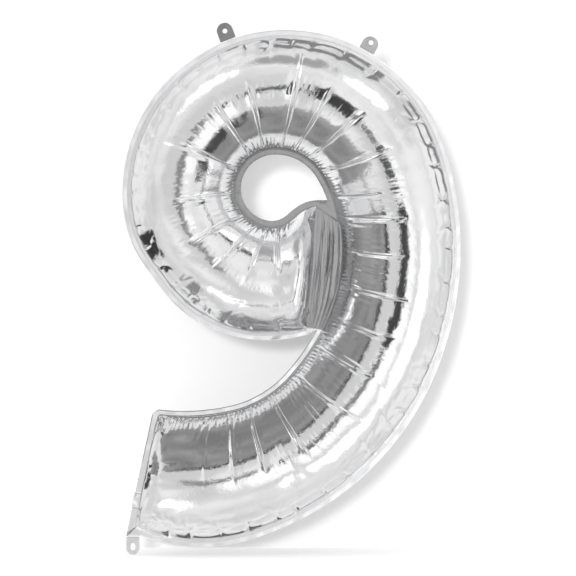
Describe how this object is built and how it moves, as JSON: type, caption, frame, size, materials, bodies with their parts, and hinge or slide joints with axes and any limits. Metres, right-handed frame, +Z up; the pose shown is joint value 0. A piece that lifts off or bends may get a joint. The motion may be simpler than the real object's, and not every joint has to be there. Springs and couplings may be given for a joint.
{
  "type": "foil number balloon",
  "caption": "Inflated foil balloon in the shape of the numeral nine, with sealed margins, punched hanging tabs and a self-sealing inlet.",
  "frame": {"origin": "bottom centre of the box round the whole balloon, tabs included", "axes": "+Z up along the numeral's height, +X to the right of a reader in front of it, the numeral's face towards -Y"},
  "size_m": [0.5646, 0.1864, 0.8875],
  "materials": {
    "foil": "polished silver film, creased",
    "sealed_foil": "silver film, heat-sealed and slightly puckered",
    "clear_film": "clear thin film"
  },
  "bodies": {
    "envelope": {"front_panel": "foil", "rear_panel": "foil", "outer_seam_band": "sealed_foil", "counter_seam_band": "sealed_foil", "bridge_web": "sealed_foil", "valve_front_film": "clear_film", "valve_rear_film": "clear_film"},
    "left_tab": {"hang_tab_left": "sealed_foil"},
    "right_tab": {"hang_tab_right": "sealed_foil"},
    "lower_tab": {"tail_tab": "sealed_foil"},
    "front_lip": {"inlet_lip_front": "sealed_foil"},
    "rear_lip": {"inlet_lip_rear": "sealed_foil"}
  },
  "joints": [
    {"name": "left_tab_fold", "type": "hinge", "parent": "envelope", "child": "left_tab", "pos_m": [-0.10648, 0, 0.85861], "axis": [0.9367, 0, 0.3502], "range_deg": [-90, 90], "stiffness_Nm_per_rad": 0.0001},
    {"name": "right_tab_fold", "type": "hinge", "parent": "envelope", "child": "right_tab", "pos_m": [0.12625, 0, 0.83985], "axis": [0.8713, 0, -0.4907], "range_deg": [-90, 90], "stiffness_Nm_per_rad": 0.0001},
    {"name": "lower_tab_fold", "type": "hinge", "parent": "envelope", "child": "lower_tab", "pos_m": [-0.26462, 0, 0.03], "axis": [-1, 0, 0], "range_deg": [-90, 90], "stiffness_Nm_per_rad": 0.0001},
    {"name": "front_lip_open", "type": "hinge", "parent": "envelope", "child": "front_lip", "pos_m": [-0.25263, 0, 0.08921], "axis": [0.2043, 0, 0.9789], "range_deg": [0, 30], "stiffness_Nm_per_rad": 0.00002},
    {"name": "rear_lip_open", "type": "hinge", "parent": "envelope", "child": "rear_lip", "pos_m": [-0.25263, 0, 0.08921], "axis": [0.2043, 0, 0.9789], "range_deg": [-30, 0], "stiffness_Nm_per_rad": 0.00002}
  ],
  "couplings": [
    {"joint": "rear_lip_open", "follows": "front_lip_open", "ratio": -1}
  ]
}
